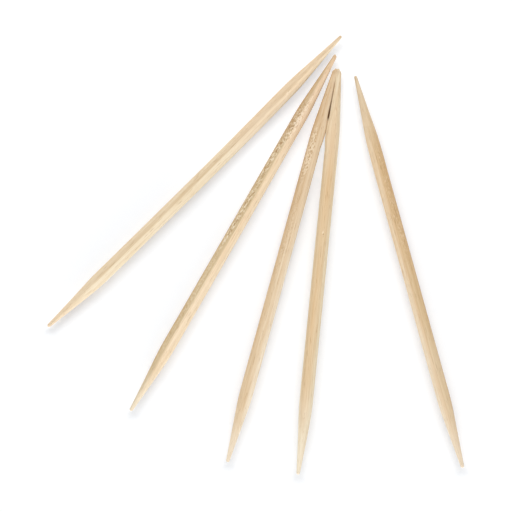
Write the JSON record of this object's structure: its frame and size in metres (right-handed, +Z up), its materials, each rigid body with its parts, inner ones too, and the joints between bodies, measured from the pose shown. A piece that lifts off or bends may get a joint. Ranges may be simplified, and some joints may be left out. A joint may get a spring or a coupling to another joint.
{
  "type": "toothpick",
  "caption": "Loose fan of round, double-pointed wooden toothpicks lying flat, each a straight turned shank with a slim ground point at either end, for picking up and pinning food.",
  "frame": {"origin": "middle of the fan's footprint, on the surface that the picks lie on", "axes": "+Z up, +Y across the fan towards the end where the points gather, +X to the right when seen from above with that end away"},
  "size_m": [0.0636, 0.0698, 0.0021],
  "materials": {
    "birch": "bare, matt, turned along the grain"
  },
  "bodies": {
    "middle": {"middle_pick": "birch"},
    "far_left": {"far_left_pick": "birch"},
    "left": {"left_pick": "birch"},
    "right": {"right_pick": "birch"},
    "far_right": {"far_right_pick": "birch"}
  },
  "joints": [
    {"name": "far_left_lift", "type": "slide", "parent": "middle", "child": "far_left", "axis": [0, 0, 1], "range_m": [0, 0.04]},
    {"name": "left_lift", "type": "slide", "parent": "middle", "child": "left", "axis": [0, 0, 1], "range_m": [0, 0.04]},
    {"name": "right_lift", "type": "slide", "parent": "middle", "child": "right", "axis": [0, 0, 1], "range_m": [0, 0.04]},
    {"name": "far_right_lift", "type": "slide", "parent": "middle", "child": "far_right", "axis": [0, 0, 1], "range_m": [0, 0.04]}
  ]
}
